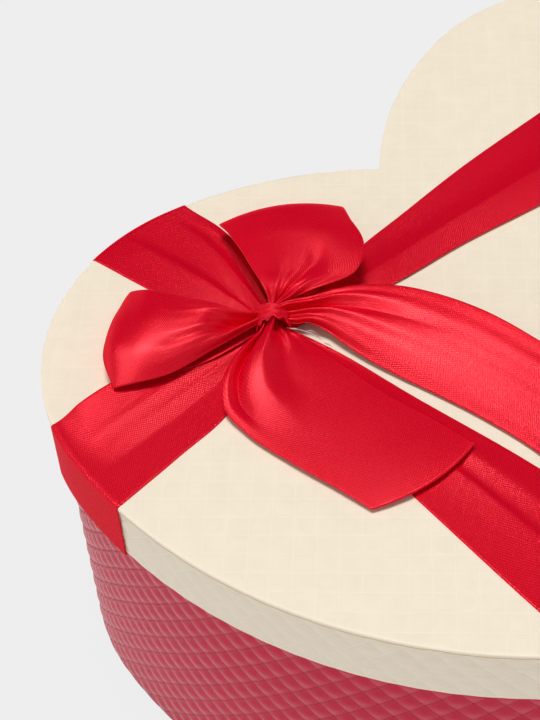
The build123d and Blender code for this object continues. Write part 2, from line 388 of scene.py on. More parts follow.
def lid_sheet(name, settings):
    """Embossed sheet over the lid, its edge lapped a little way down the skirt and cut unevenly."""
    diagonal = settings.quilt_pitch * 2**0.5
    step = diagonal / settings.quilt_steps
    count = 1000
    rim = 0.6 * MM
    pressed_edge = 3 * MM
    cut_band = 0.4 * MM
    points, directions = (each[::-1] for each in round_the_heart(count, 0))
    edge = draw_in(points, directions, rim)
    flat = np.concatenate([edge, inside_rows(draw_in(points, directions, 2 * rim), step)])
    made = delaunay_2d_cdt([Vector(p) for p in flat], [], [list(range(count))], 1, 1e-9, False)
    plan = np.array(made[0])
    tree = KDTree(count)
    for k, place in enumerate(edge):
        tree.insert((*place, 0), k)
    tree.balance()
    off_edge = np.array([tree.find((*place, 0))[2] for place in plan])
    embossed = np.clip(off_edge / pressed_edge, 0, 1)
    quilt = pillows(plan[:, 0] / diagonal, plan[:, 1] / diagonal)
    relief = settings.lid_relief * embossed * (quilt - 1)
    verts = np.column_stack([plan, lid_top + relief])
    turn = np.arange(count) * 2 * pi / count
    # Heights in mm of the waves in the cut, their counts all round and their shifts, and the nicks
    waves = [(0.12, 47, 0), (0.1, 113, 1), (0.08, 29, 2)]
    nicks, nick_height, nick_sharpness = 11, 0.5, 9
    ragged = sum(height * np.sin(times * turn + shift) for height, times, shift in waves)
    ragged += nick_height * np.exp(-(((turn * nicks / pi) % 2 - 1) * nick_sharpness) ** 2)
    cut = lap_foot + np.maximum(ragged, 0) * MM
    # Over the eased rim, down the lap, round its cut edge and up behind it
    rings = [
        (0.3 * rim, lid_top - 0.13 * rim),
        (0.05 * rim, lid_top - 0.55 * rim),
        (0, lid_top - rim),
        (0, cut + cut_band),
        (0, cut),
        (paper, cut),
        (paper, lid_top - paper),
    ]
    cut_levels = (4, 5)
    for inset, height in rings:
        ring = draw_in(points, directions, inset)
        verts = np.concatenate([verts, np.column_stack([ring, np.broadcast_to(height, count)])])
    # Triangles between three points of the edge that turn the other way lie across the cleft
    corners = np.array([list(face) for face in made[2]])
    first, second, third = plan[np.sort(corners, axis=1)].transpose(1, 0, 2)
    turning = np.cross(second - first, third - first)
    top = corners[(corners.max(1) >= count) | (turning > 0)]
    # The edge is the first ring, and the others follow after the points inside it
    levels, _, sides = grid_faces(len(rings) + 1, count, close_columns=True)
    sides += (len(plan) - count) * (sides >= count)
    under = list(range(len(verts) - count, len(verts)))[::-1]
    sheet = mesh_object(name, verts.tolist(), [*top.tolist(), *sides.tolist(), under])
    slots = np.concatenate([np.zeros(len(top)), np.isin(levels[:, 0], cut_levels), [0]])
    sheet.data.polygons.foreach_set("material_index", slots.astype(np.int32))
    return sheet


# Materials


def new_material(name):
    material = bpy.data.materials.new(name)
    material.use_nodes = True
    return material, material.node_tree, material.node_tree.nodes["Principled BSDF"]


def feed(tree, node, inputs):
    """Links or sets a node's inputs."""
    for name, value in inputs.items():
        if isinstance(value, bpy.types.NodeSocket):
            tree.links.new(value, node.inputs[name])
        else:
            node.inputs[name].default_value = value


def add(tree, kind, inputs, **settings):
    """Adds a node with its settings, and links or sets its inputs."""
    node = tree.nodes.new(kind)
    for name, value in settings.items():
        setattr(node, name, value)
    feed(tree, node, inputs)
    return node


def maths(tree, operation, *values):
    return add(tree, "ShaderNodeMath", dict(enumerate(values)), operation=operation).outputs[0]


def vector_maths(tree, operation, inputs, output=0):
    return add(tree, "ShaderNodeVectorMath", inputs, operation=operation).outputs[output]


def remap(tree, value, start, end, low, high, interpolation="LINEAR"):
    inputs = {0: value, 1: start, 2: end, 3: low, 4: high}
    return add(tree, "ShaderNodeMapRange", inputs, interpolation_type=interpolation).outputs[0]


def eased(tree, value, start, end, low=0, high=1):
    return remap(tree, value, start, end, low, high, "SMOOTHSTEP")


def mixed(tree, share, first, second, blend="MIX"):
    inputs = {0: share, 6: first, 7: second}
    return add(tree, "ShaderNodeMix", inputs, data_type="RGBA", blend_type=blend).outputs[2]


def speckle(tree, size, **inputs):
    return add(tree, "ShaderNodeTexNoise", {"Scale": 1 / size, **inputs}).outputs["Fac"]


def bumped(tree, height, distance, strength, invert=False, **inputs):
    inputs |= {"Strength": strength, "Distance": distance, "Height": height}
    return add(tree, "ShaderNodeBump", inputs, invert=invert).outputs[0]


def opaque(colour):
    return (*colour, 1)


def embossed_paper(name, colour, stitch, line_width, depth, roughness, gloss, pitch, wrapped):
    """Coated art paper run through engraved rollers.

    The eye sees padded diamonds between lines of small sunk stitches, and a soft gloss that
    grows towards grazing angles. The diamonds are in the mesh, the stitches are here. They
    are drawn at 0.8 mm, a little coarser than the real ones, so that they show.
    """
    stitch_pitch = 0.8 * MM
    cloud_size = 25 * MM
    fibre_size = 0.6 * MM
    fibre_height = 0.03 * MM
    material, tree, shader = new_material(name)
    if wrapped:
        lattice = add(tree, "ShaderNodeUVMap", {}, uv_map="Quilt").outputs["UV"]
    else:
        spot = add(tree, "ShaderNodeTexCoord", {}).outputs["Object"]
        lattice = vector_maths(tree, "SCALE", {0: spot, "Scale": 1 / (pitch * 2**0.5)})
    axes = add(tree, "ShaderNodeSeparateXYZ", {0: lattice}).outputs
    rising = maths(tree, "ADD", axes[0], axes[1])
    falling = maths(tree, "SUBTRACT", axes[0], axes[1])
    masks = []
    for own, other in ((rising, falling), (falling, rising)):
        off_line = maths(tree, "PINGPONG", own, 0.5)
        line = eased(tree, off_line, 0, line_width / pitch / 2, 1, 0)
        count = maths(tree, "MULTIPLY", other, round(pitch / stitch_pitch))
        off_stitch = maths(tree, "PINGPONG", count, 0.5)
        dash = eased(tree, off_stitch, 0.1, 0.35, 0.25, 1)
        masks.append(maths(tree, "MULTIPLY", line, dash))
    stitches = maths(tree, "MAXIMUM", *masks)
    # Slow clouding of the pulp
    cloud = remap(tree, speckle(tree, cloud_size, Detail=4), 0.3, 0.7, 0.97, 1.02)
    clouded = mixed(tree, 1, opaque(colour), cloud, "MULTIPLY")
    stained = mixed(tree, stitches, clouded, opaque(stitch))
    # Fibres under the coating
    grain = bumped(tree, speckle(tree, fibre_size, Detail=2), fibre_height, 0.15)
    relief = bumped(tree, stitches, depth, 0.8, invert=True, Normal=grain)
    look = {"Base Color": stained, "Normal": relief, "Roughness": roughness}
    feed(tree, shader, look | {"Specular IOR Level": gloss})
    return material


def satin(settings):
    """Polyester satin ribbon, woven so that long warp floats lie on its face.

    The eye sees a soft gloss drawn out across the threads and broken into specks by the weave,
    fine slanting lines of binding points, and a redder light inside folds. The specks and the
    binding points are partly painted into the colour: painted glints on the threads' tops and
    painted shade between them. The real threads are about 0.15 mm apart; the weave is drawn
    coarser to show.
    """
    slub_size = 2.5 * MM
    float_width, float_length = 0.5 * MM, 0.8 * MM
    weave_height = 0.09 * MM
    material, tree, shader = new_material("polyester satin")
    weave = add(tree, "ShaderNodeUVMap", {}, uv_map="Weave").outputs["UV"]
    slubs = speckle(tree, slub_size, Vector=weave, Detail=3)
    lines = []
    for slant, spacing in ((radians(28), settings.thread), (radians(-62), 1.25 * settings.thread)):
        across_lines = (sin(slant) / spacing, cos(slant) / spacing, 0)
        slanted = vector_maths(tree, "DOT_PRODUCT", {0: weave, 1: across_lines}, "Value")
        wander = maths(tree, "MULTIPLY_ADD", slubs, 0.8, slanted)
        lines.append(maths(tree, "PINGPONG", wander, 0.5))
    points = eased(tree, maths(tree, "ADD", *lines), 0.4, 0.9)
    # Single floats catch the light as specks along the warp, through the bump and as painted glints
    # in the colour
    per_float = (1 / float_width, 1 / float_length, 0)
    stretched = vector_maths(tree, "MULTIPLY", {0: weave, 1: per_float})
    floats = speckle(tree, 1, Vector=stretched, Detail=1)
    height = maths(tree, "MULTIPLY_ADD", floats, 0.9, points)
    # The weave's height is painted into the colour: lighter on the threads' tops as painted glints,
    # darker between them as painted shade
    painted_weave_light = remap(tree, height, 0.2, 1.02, 0, 1)
    dye_with_painted_weave_light = mixed(tree, painted_weave_light, opaque(settings.shade), opaque(settings.colour))
    bump = bumped(tree, height, weave_height, 0.5)
    tangent = add(tree, "ShaderNodeTangent", {}, direction_type="UV_MAP", uv_map="Weave").outputs[0]
    look = {"Base Color": dye_with_painted_weave_light, "Normal": bump, "Tangent": tangent, "Anisotropic": 0.35}
    # Light that goes through the clear fibres comes back tinted by the dye, along with the gloss
    look |= {"Metallic": 0.26, "Roughness": 0.31, "Specular Tint": (1, 0.15, 0.2, 1)}
    # White gloss of round fibres, which grows less towards grazing angles than that of a flat
    # film: a small share of a dense coat instead of the even surface's own gloss
    look |= {"Specular IOR Level": 0, "Coat Normal": bump, "Coat Weight": 0.1}
    look |= {"Coat Roughness": 0.28, "Coat IOR": 2.5}
    # Light that enters the cloth spreads in it and comes out on its other side, tinted by the dye
    look |= {"Subsurface Weight": 0.6, "Subsurface Radius": (1, 0.1, 0.12)}
    feed(tree, shader, look | {"Subsurface Scale": 1.2 * MM})
    return material


def plain_stock(name, colour, fibre, depth, roughness):
    """Uncoated pressed paper or board: dull, with flecks and a fine tooth of matted fibres."""
    material, tree, shader = new_material(name)
    flecks = speckle(tree, fibre, Detail=5, Roughness=0.7)
    shade = remap(tree, flecks, 0.35, 0.65, 0.86, 1.05)
    tint = mixed(tree, 1, opaque(colour), shade, "MULTIPLY")
    bump = bumped(tree, flecks, depth, 0.4)
    feed(tree, shader, {"Base Color": tint, "Normal": bump, "Roughness": roughness})
    return material


def set_glue(colour):
    """Hot-melt glue that set in air: cloudy, soft-edged and a little glossy."""
    cloud_size = 1.2 * MM
    material, tree, shader = new_material("hot-melt glue")
    clear = remap(tree, speckle(tree, cloud_size, Detail=2), 0.35, 0.65, 0.15, 0.6)
    look = {"Base Color": opaque(colour), "Transmission Weight": clear}
    feed(tree, shader, look | {"Roughness": 0.28, "IOR": 1.48})
    return material


def base_stock(settings, wrapped):
    """The base's glossy paper, with dark lines."""
    name = "embossed raspberry paper" + ("" if wrapped else " sheet")
    line_width, depth, roughness, gloss = 0.65 * MM, 0.1 * MM, 0.25, 0.19
    colours = (settings.base_colour, settings.base_stitch)
    return embossed_paper(
        name, *colours, line_width, depth, roughness, gloss, settings.quilt_pitch, wrapped
    )


def lid_stock(settings, wrapped):
    """The lid's duller paper, with pale lines that are deeper on the skirt than on the sheet."""
    name = "embossed cream paper" + ("" if wrapped else " sheet")
    line_width = (0.65 if wrapped else 0.32) * MM
    depth = (0.1 if wrapped else 0.03) * MM
    roughness, gloss = 0.5, 0.4
    colours = (settings.lid_colour, settings.skirt_stitch if wrapped else settings.lid_stitch)
    return embossed_paper(
        name, *colours, line_width, depth, roughness, gloss, settings.quilt_pitch, wrapped
    )


# Ribbon


def through(values, times, samples):
    """Smooth curve through values given at times."""
    slopes = np.gradient(values, times, axis=0)
    index = np.clip(np.searchsorted(times, samples, side="right") - 1, 0, len(times) - 2)
    span = (times[index + 1] - times[index]).reshape(-1, *[1] * (values.ndim - 1))
    share = (samples - times[index]).reshape(span.shape) / span
    here, ahead = values[index], values[index + 1]
    bend = here * (1 + 2 * share) * (1 - share) ** 2 + ahead * share**2 * (3 - 2 * share)
    leaving = slopes[index] * share * (1 - share) ** 2
    arriving = slopes[index + 1] * share**2 * (1 - share)
    return bend + span * (leaving - arriving)


def lofted(rows, count):
    """Even rows along a smooth sheet through given rows of points.

    With them come the shares of the way at the even rows and at the given ones.
    """
    middle = rows[:, rows.shape[1] // 2]
    times = run_lengths(middle)
    samples = np.linspace(0, times[-1], count)
    return through(rows, times, samples), samples / times[-1], times / times[-1]


def between(first, second, across):
    """Points on the lines from first to second ends, at places from -1 to 1."""
    return first[:, None] * (1 - across[:, None]) / 2 + second[:, None] * (1 + across[:, None]) / 2


def pleat_heights(from_knot, across, pleats):
    """Height of folds over a sheet, for shares of the way from the knot.

    A pleat has its place across the ribbon (-1 to 1) at the knot and where it fades, its widths
    before and after its ridge, its height in mm, and the share of the way at which it has faded.
    """
    sharpness = 1.5
    total = np.zeros((len(from_knot), len(across)))
    for at_knot, at_end, before, after, height, reach in pleats:
        middle = at_knot + (at_end - at_knot) * np.minimum(from_knot / reach, 1)
        left = np.clip(1 - from_knot / reach, 0, 1)
        off = across[None, :] - middle[:, None]
        ridge = np.exp(-(np.abs(off / np.where(off < 0, before, after)) ** sharpness))
        total += height * MM * smooth(left)[:, None] * ridge
    return total


def dimple_heights(from_knot, across, dimples):
    """Height of single dents and swellings over a sheet.

    Each has its share of the way, its place across, its length and width and its height in mm.
    """
    total = np.zeros((len(from_knot), len(across)))
    for way, place, length, width, height in dimples:
        off = ((from_knot[:, None] - way) / length) ** 2 + ((across[None, :] - place) / width) ** 2
        total += height * MM * np.exp(-off)
    return total


def gathers(grid, across, settings):
    """Small folds that take up the ribbon's width where it is drawn together."""
    deepest, onset, tightest = 1.1 * MM, 1.9, 0.25
    drawn = np.linalg.norm(np.diff(grid, axis=1), axis=2).sum(1) / settings.width
    depth = deepest * np.clip(1 - drawn, 0, 1) ** onset * np.minimum(drawn / tightest, 1)
    # Heights of two sets of folds, their turns across the ribbon and their shifts
    waves = [(1, 11, 0.6), (0.6, 19, 2.1)]
    folds = sum(height * np.cos(turns * across + shift) for height, turns, shift in waves)
    return depth[:, None] * folds[None, :]


def ribbon_piece(name, grid, node, settings):
    """Ribbon of a given thickness over a grid of points, with weave coordinates in metres."""
    rows, columns, faces = grid_faces(grid.shape[0], grid.shape[1])
    steps = np.linalg.norm(np.diff(grid, axis=0), axis=2).mean(1)
    way = np.concatenate([[0], np.cumsum(steps)])
    across = np.linspace(0, settings.width, grid.shape[1])
    uvs = np.stack([across[columns], way[rows]], -1)
    piece = mesh_object(name, grid.reshape(-1, 3).tolist(), faces.tolist(), "Weave", uvs)
    solid = piece.modifiers.new("thickness", "SOLIDIFY")
    solid.thickness = settings.thickness
    solid.offset = 0
    material = bpy.data.materials.get("polyester satin") or satin(settings)
    place_piece(piece, "lid", node, "ribbon", material)


def bow_sheet(ribs, pleats, dimples, looped, settings, end_bow=0, rows=130, columns=73):
    """Bow piece from ribs across the ribbon, in mm from the knot's middle on the lid.

    A rib has the two selvedges and the height of its crown between them. A loop comes back to
    the knot on top, and its folds are counted from there; a tail starts at the knot. The end bow
    is how far the middle of a tail's cut end stands out past its corners, in mm.
    """
    ribs = np.array(ribs)
    first, second, crowns = ribs[:, 0:3], ribs[:, 3:6], ribs[:, 6]
    across = np.linspace(-1, 1, columns)
    lines = between(first, second, across)
    grid, shares, times = lofted(knot + lines * MM, rows)
    ahead = unit(np.gradient(grid, axis=0))
    grid += end_bow * MM * np.outer(shares**4, 1 - across**2)[:, :, None] * ahead
    from_knot = 2 * (1 - shares) if looped else shares
    heights = through(crowns, times, shares)[:, None] * MM * (1 - across**2)
    heights += pleat_heights(from_knot, across, pleats) + dimple_heights(from_knot, across, dimples)
    heights += gathers(grid, across, settings)
    normals = unit(np.cross(np.gradient(grid, axis=0), np.gradient(grid, axis=1)))
    return grid + heights[:, :, None] * normals


def rim_ways(axis, middle, width, side_of_peak):
    """Lengths along the half outline at a strap's two edges, on a side of the coordinate's peak."""
    lengths = ways(0)
    track = half_points[:, axis]
    peak = int(np.argmax(track))
    before, after = slice(0, peak + 1), slice(len(track) - 1, peak - 1, -1)
    part = before if side_of_peak == "before" else after
    return np.interp([middle + width / 2, middle - width / 2], track[part], lengths[part])


def strap_end(edge_ways, mirrored, slip, settings, columns):
    """Rows of a strap end: up inside the skirt, under its foot, up outside it and over the rim."""
    clearance = 0.03 * MM
    gap = settings.thickness / 2 + clearance
    inside = skirt_inside + gap
    foot = skirt_foot - gap
    bend = 0.45 * MM
    round_bend = 0.72 * (bend + gap)
    climb = lid_top - 2 * bend - skirt_foot
    climb_steps = 12
    outside = [(-gap, skirt_foot + climb * k / climb_steps) for k in range(climb_steps + 1)]
    outside.append((-gap, lid_top - bend))
    profile = [(inside, skirt_foot + settings.tuck), (inside, skirt_foot + settings.tuck / 2)]
    profile += [(inside, skirt_foot + gap), (inside - gap, foot), (skirt_inside / 2, foot)]
    profile += [(0, foot), *outside]
    profile += [(bend - round_bend, lid_top - bend + round_bend), (bend, lid_top + gap)]
    along = np.linspace(*edge_ways, columns)
    lengths = ways(0)
    rows = []
    for inset, height in profile:
        drop = min(lid_top - height, lid_top - skirt_foot)
        points, normals = places(along + slip * max(drop, 0), np.full(columns, mirrored), lengths)
        rows.append(np.column_stack([points - inset * normals, np.full(columns, height)]))
    return np.array(rows)


def strap_arm(edge_ways, mirrored, slip, ribs, pleats, turned_up, lift, settings, rows, columns=57):
    """One arm of a strap, from its tucked end to the knot.

    The ribs are the two edges, in mm from the knot, from the rim inwards. The first edge is turned
    up from a place across the ribbon by a height in mm.
    """
    flat_share, turn_share = 0.15, 0.3
    end = strap_end(edge_ways, mirrored, slip, settings, columns)
    across = np.linspace(-1, 1, columns)
    ribs = np.array(ribs)
    edges = np.stack([ribs[:, 0:2], ribs[:, 2:4]], 1) * MM + knot[:2]
    lines = between(edges[:, 0], edges[:, 1], across)
    level = np.full((*lines.shape[:2], 1), end[-1, 0, 2])
    level[-1] += lift
    top, shares, _ = lofted(np.concatenate([end[-1:], np.concatenate([lines, level], 2)]), rows)
    flat_rim = smooth(np.clip(shares / flat_share, 0, 1))[:, None]
    crease, height = turned_up
    turned = height * MM * np.clip((crease - across) / (crease + 1), 0, 1)
    turning = np.sin(np.minimum(shares / turn_share, 1) * pi / 2)[:, None]
    top[:, :, 2] += flat_rim * np.maximum(pleat_heights(1 - shares, across, pleats), 0)
    top[:, :, 2] += turning * flat_rim * turned
    return np.concatenate([end[:-1], top])


# Bow pieces in mm from the knot's middle on the lid. Each rib has its first selvedge, its second
# selvedge, and the height of the crown between them on the side that shows.

left_loop_ribs = [
    (-1, 1, 1.5, 0, 4, 1.5, 0),
    (-25, 4, 2.5, -7, 20, 2.5, 0),
    (-44, 13, 2, -19, 35, 1.6, 0),
    (-51.5, 13.9, 4.5, -23.2, 41.1, 5.2, 4.6),
    (-47.5, 10.9, 5.5, -21.5, 34.8, 10, 3.8),
    (-37, 6, 5.5, -16.3, 25.7, 10, 4),
    (-20, 4, 5.5, -8.9, 15.1, 8.6, 4),
    (-7, 2.4, 6.2, -3.6, 7.2, 6.8, 1),
    (-1, 1.2, 6.5, 0, 4, 7, 0.3),
]
left_loop_pleats = [
    (0.2, -0.35, 0.24, 0.3, -4, 0.46),
    (0.6, 0.4, 0.25, 0.3, 1.0, 0.7),
    (-0.8, -0.88, 0.12, 0.14, 1.2, 0.6),
]
left_loop_dimples = [
    (0.25, -0.05, 0.1, 0.4, -3.4),
    (0.6, -0.3, 0.08, 0.12, -0.35),
    (1, 0.6, 0.3, 0.3, -0.6),
    (1, -0.45, 0.3, 0.35, 0.9),
]
upper_loop_ribs = [
    (1, 3, 1.5, 3, 1, 1.5, 0),
    (13, 18, 0.9, 25, 4, 0.9, 0),
    (22, 38, 1.2, 44, 19, 1.2, 0),
    (18, 43.9, 5, 49.9, 21.9, 5.5, 3),
    (14.7, 37, 8.5, 45.3, 11.6, 10.2, 2.5),
    (11.5, 27.4, 10, 39.1, -0.6, 11.6, 1.8),
    (7.8, 17.1, 10.3, 27, -6.9, 11.3, 1.2),
    (5.2, 9, 10, 14.1, -2.8, 11, 0.8),
    (3.6, 4.9, 8, 7, 2, 7.5, 0.3),
    (1.2, 3, 7.5, 3, 1, 7, 0),
]
upper_loop_pleats = [
    (-0.15, 0.2, 0.1, 0.08, -2.4, 0.5),
    (0.12, 0.42, 0.1, 0.35, 0.8, 0.44),
    (-0.5, -0.35, 0.2, 0.2, 0.9, 0.6),
]
upper_loop_dimples = [(0.44, 0.24, 0.12, 0.16, -0.9)]
short_tail_ribs = [
    (-1.5, 2, 5.5, 1.8, 1.5, 4, 0),
    (-6, 0, 5, 2.7, -2.2, 2.8, 0.5),
    (-14, -1.5, 5, 4.1, -8.2, 2.2, 1.2),
    (-25, -6, 4.5, 4.6, -15, 2, 1.2),
    (-32, -13, 2.5, 5, -22.3, 2, 1),
    (-33.8, -24.4, 1.8, 5.4, -32.6, 1.9, 0.6),
    (-32, -42.6, 2, 6.4, -47.4, 2.3, 0.3),
    (-29.2, -58.6, 2, 8.6, -61.2, 2.6, 0.2),
    (-27.3, -70.9, 1.6, 9.8, -75.6, 3.2, 0.2),
]
short_tail_pleats = [
    (-0.9, -0.9, 0.12, 0.1, 1.4, 0.6),
    (-0.6, -0.78, 0.1, 0.1, -4.5, 0.5),
    (-0.12, -0.38, 0.46, 0.28, 3.3, 0.62),
    (0.3, 0.1, 0.2, 0.2, -0.8, 0.5),
]
long_tail_ribs = [
    (1.5, -0.5, 6, 2, 2.5, 7.5, 0),
    (4.5, -5, 5.2, 7, 1.6, 8, 0.4),
    (8, -8.5, 5.4, 13.2, -3.2, 9, 1),
    (10, -12.7, 4, 19.9, -5.8, 9, 2),
    (10.7, -20.2, 3, 27.9, -11.5, 9.5, 2.3),
    (11.8, -29.6, 2, 34.7, -19.5, 10, 2),
    (13.8, -40.4, 1.5, 40, -28.8, 10, 1.6),
    (16.4, -52.1, 1.2, 45.1, -43.4, 10, 1.2),
    (19.4, -68.2, 1.2, 48.5, -63.4, 9, 0.9),
    (21.3, -88.6, 1.2, 48.7, -86.8, 8, 0.8),
    (19.6, -111.5, 1.2, 46.2, -111, 6, 0.5),
]
long_tail_pleats = [
    (0.1, 0.3, 0.12, 0.15, -2.0, 0.5),
    (0.6, 0.62, 0.2, 0.25, 1.1, 0.4),
    (-0.3, -0.2, 0.22, 0.22, 1, 0.4),
    (-0.45, -0.6, 0.12, 0.12, -1.6, 0.14),
]

# Straps in mm from the knot's middle, first edge and second edge, from the rim inwards

lobe_ribs = [
    (-12.9, 34.2, 18.6, 38.5),
    (-7.5, 20, 12, 20),
    (-4, 10, 7.5, 10),
    (-3.5, 0, 3.5, 0),
]
lobe_pleats = [
    (-0.1, -0.42, 0.5, 0.08, 0.9, 1.8),
    (0.45, 0.62, 0.3, 0.08, 1.3, 1.1),
    (0.9, 0.85, 0.1, 0.2, 1.2, 1.0),
]
flank_ribs = [
    (-19, -125, 19, -118),
    (-16, -88, 17, -88),
    (-12.5, -52, 12, -51),
    (-8, -24, 8.2, -21),
    (-3.5, 0, 3.5, 0),
]
flank_pleats = [
    (0.1, -0.2, 0.4, 0.08, 0.8, 1.4),
    (0.5, 0.45, 0.3, 0.45, 1.4, 1.2),
    (1, 1, 0.12, 0.12, 0.8, 0.3),
]
left_ribs = [
    (-50.5, 17, -52, -17),
    (-30, 15, -31.7, -14.8),
    (-14, 10, -15, -8),
    (0, 4, 0, -3.5),
]
left_pleats = [
    (-0.35, -0.3, 0.08, 0.12, 0.4, 1.2),
    (-0.02, 0.05, 0.1, 0.08, 0.3, 1.1),
]
right_ribs = [
    (136.9, 11.7, 140, -25),
    (96.2, 11.4, 101, -20),
    (65.5, 9.4, 68.5, -14.6),
    (46.7, 8.2, 42, -11.8),
    (20, 5, 20, -6),
    (0, 3.5, 0, -3.5),
]
right_pleats = [(0.15, 0.42, 0.35, 1.4, 1.2, 2.5)]


def knot_band():
    """The ribbon wound once over the middle of the bow, gathered to a narrow puckered band."""
    # Half sizes along the bow's middle, across it and up, and the place of the middle, in mm
    half_length, half_breadth, half_height = 5.2, 3.4, 4.5
    middle_along, middle_across, middle_up = 0.3, 1.6, 4.7
    rows, columns = 64, 33
    turn = np.linspace(radians(-38), radians(218), rows)[:, None]
    across = np.linspace(-1, 1, columns)[None, :]
    along_way = np.array([0.773, -0.634, 0])
    across_way = np.array([0.634, 0.773, 0])
    puckers = 0.26 * np.cos(8 * across + 1.2 * np.sin(2 * turn))
    puckers = puckers + 0.13 * np.cos(17 * across + 3 * turn)
    reach = half_length * (1 - 0.06 * across**2) + puckers
    rise = half_height * (1 - 0.1 * across**2) + puckers
    spread = across * (half_breadth + 0.3 * np.cos(2 * turn))
    lip = 0.5 * np.sin(9 * turn) * np.clip(-across, 0, 1) ** 3
    place = [
        (middle_along + reach * np.cos(turn))[..., None] * along_way,
        (spread + lip + middle_across)[..., None] * across_way,
        (middle_up + rise * np.sin(turn) + 0.6 * lip)[..., None] * np.array([0, 0, 1]),
    ]
    return knot + sum(place) * MM


def glue_shreds(name):
    """Threads and crumbs of set glue along the strap's edge beside the knot."""
    lump_size, lump_share = 0.7 * MM, 0.6
    # Points of the threads from the knot, each with the radius there, in mm
    threads = [
        [(2.2, -4.2, 4.2, 0.05), (3.4, -6, 4, 0.3), (4.6, -7.4, 3.8, 0.15), (5.3, -9.2, 3.6, 0.04)],
        [(4.4, -7.6, 4, 0.05), (5.6, -9.8, 3.8, 0.26), (6.5, -12.4, 3.5, 0.2), (6.9, -15, 3, 0.05)],
        [(5.4, -9.4, 4.2, 0.05), (6.6, -10.6, 4.2, 0.2), (7.2, -12.4, 3.6, 0.05)],
        [(6.6, -16, 2.9, 0.05), (7.2, -17.4, 2.7, 0.22), (7.5, -18.8, 2.3, 0.04)],
    ]
    sides, rows = 10, 40
    turn = np.arange(sides) * 2 * pi / sides
    verts, faces = [], []
    for thread in map(np.array, threads):
        line, shares, times = lofted(thread[:, None, :3] * MM, rows)
        line = knot + line[:, 0]
        thick = through(thread[:, 3], times, shares) * MM
        ahead = unit(np.gradient(line, axis=0))
        level = unit(np.cross(ahead, (0, 0, 1)))
        up = np.cross(level, ahead)
        start = len(verts)
        for k in range(len(line)):
            for angle in turn:
                outward = cos(angle) * level[k] + sin(angle) * up[k]
                spot = line[k] + thick[k] * outward
                swell = noise.noise(Vector(spot) / lump_size)
                verts.append(tuple(spot + lump_share * thick[k] * swell * outward))
        faces += (start + grid_faces(len(line), sides, close_columns=True)[2]).tolist()
        faces += [[start + k for k in range(sides)], [len(verts) - 1 - k for k in range(sides)]]
    return mesh_object(name, verts, faces)


# Stage


def place_camera(scene, settings):
    lens = bpy.data.cameras.new("camera")
    lens.lens = settings.lens
    camera = bpy.data.objects.new("camera", lens)
    turn = Matrix.Rotation(settings.heading - pi / 2, 4, "Z")
    turn @= Matrix.Rotation(pi / 2 - settings.dip, 4, "X")
    turn @= Matrix.Rotation(settings.roll, 4, "Z")
    camera.matrix_world = Matrix.Translation(settings.place) @ turn
    scene.collection.objects.link(camera)
    scene.camera = camera


def lay_floor(settings):
    """Matt card. Where it is seen, its shade is mostly lit away, as in a bright studio."""
    reach = 6
    lit_away = 0.97
    corners = [(-reach, -reach, 0), (reach, -reach, 0), (reach, reach, 0), (-reach, reach, 0)]
    floor = mesh_object("floor", corners, [(0, 1, 2, 3)])
    card, tree, shader = new_material("matt white card")
    backdrop = opaque(settings.backdrop)
    feed(tree, shader, {"Base Color": backdrop, "Roughness": 1, "Specular IOR Level": 0})
    path = add(tree, "ShaderNodeLightPath", {}).outputs
    direct = maths(tree, "MAXIMUM", path["Is Camera Ray"], path["Is Transmission Ray"])
    shown = maths(tree, "MAXIMUM", direct, path["Is Glossy Ray"])
    lit = maths(tree, "MULTIPLY", shown, lit_away)
    bright = add(tree, "ShaderNodeEmission", {"Color": backdrop, "Strength": 1}).outputs[0]
    seen = add(tree, "ShaderNodeMixShader", {0: lit, 1: shader.outputs[0], 2: bright}).outputs[0]
    feed(tree, tree.nodes["Material Output"], {"Surface": seen})
    floor.data.materials.append(card)


def light_room(scene, settings):
    """A room that is as pale as the backdrop round the horizon and dimmer above."""
    world = bpy.data.worlds.new("room")
    world.use_nodes = True
    scene.world = world
    tree = world.node_tree
    way = add(tree, "ShaderNodeTexCoord", {}).outputs["Generated"]
    height = add(tree, "ShaderNodeSeparateXYZ", {0: way}).outputs["Z"]
    above = eased(tree, height, 0.12, 0.6)
    shade = mixed(tree, above, opaque(settings.backdrop), opaque(settings.room))
    side_way = vector_maths(tree, "DOT_PRODUCT", {0: way, 1: settings.bright_side}, "Value")
    gain = remap(tree, side_way, -1, 1, 0.7, 1.3)
    shade = vector_maths(tree, "SCALE", {0: shade, "Scale": gain})
    # A dark flag over the far side keeps the sheen off what lies flat
    flag_way = Vector(settings.flag_aim).normalized()
    facing = vector_maths(tree, "DOT_PRODUCT", {0: way, 1: flag_way}, "Value")
    flagged = eased(tree, facing, cos(settings.flag_spread), cos(settings.flag_spread / 3))
    shaded = mixed(tree, flagged, shade, opaque(settings.flag))
    feed(tree, tree.nodes["Background"], {"Color": shaded})


def hang_softbox(scene, settings):
    softbox = bpy.data.lights.new("softbox", "SUN")
    softbox.energy = settings.key
    softbox.angle = settings.key_spread
    lamp = bpy.data.objects.new("softbox", softbox)
    lamp.rotation_euler = Vector(settings.key_aim).to_track_quat("Z", "Y").to_euler()
    scene.collection.objects.link(lamp)


# Operators


class HEARTBOX_OT_base_wrap(bpy.types.Operator):
    """Wrap the base in embossed raspberry paper"""

    bl_idname = "heartbox.base_wrap"
    bl_label = "Wrap the base"

    def execute(self, context):
        settings = context.scene.heart_papers
        corners = [(foot_turn_in, 0), (base_face, 0), (base_face, mouth)]
        corners += [(base_inside, mouth), (base_inside, turn_in_foot)]
        wrap = wrapped_paper("base_paper", corners, base_face, settings.base_relief, settings)
        place_piece(wrap, "base", "base_wrap", "base_paper", base_stock(settings, True))
        return {"FINISHED"}


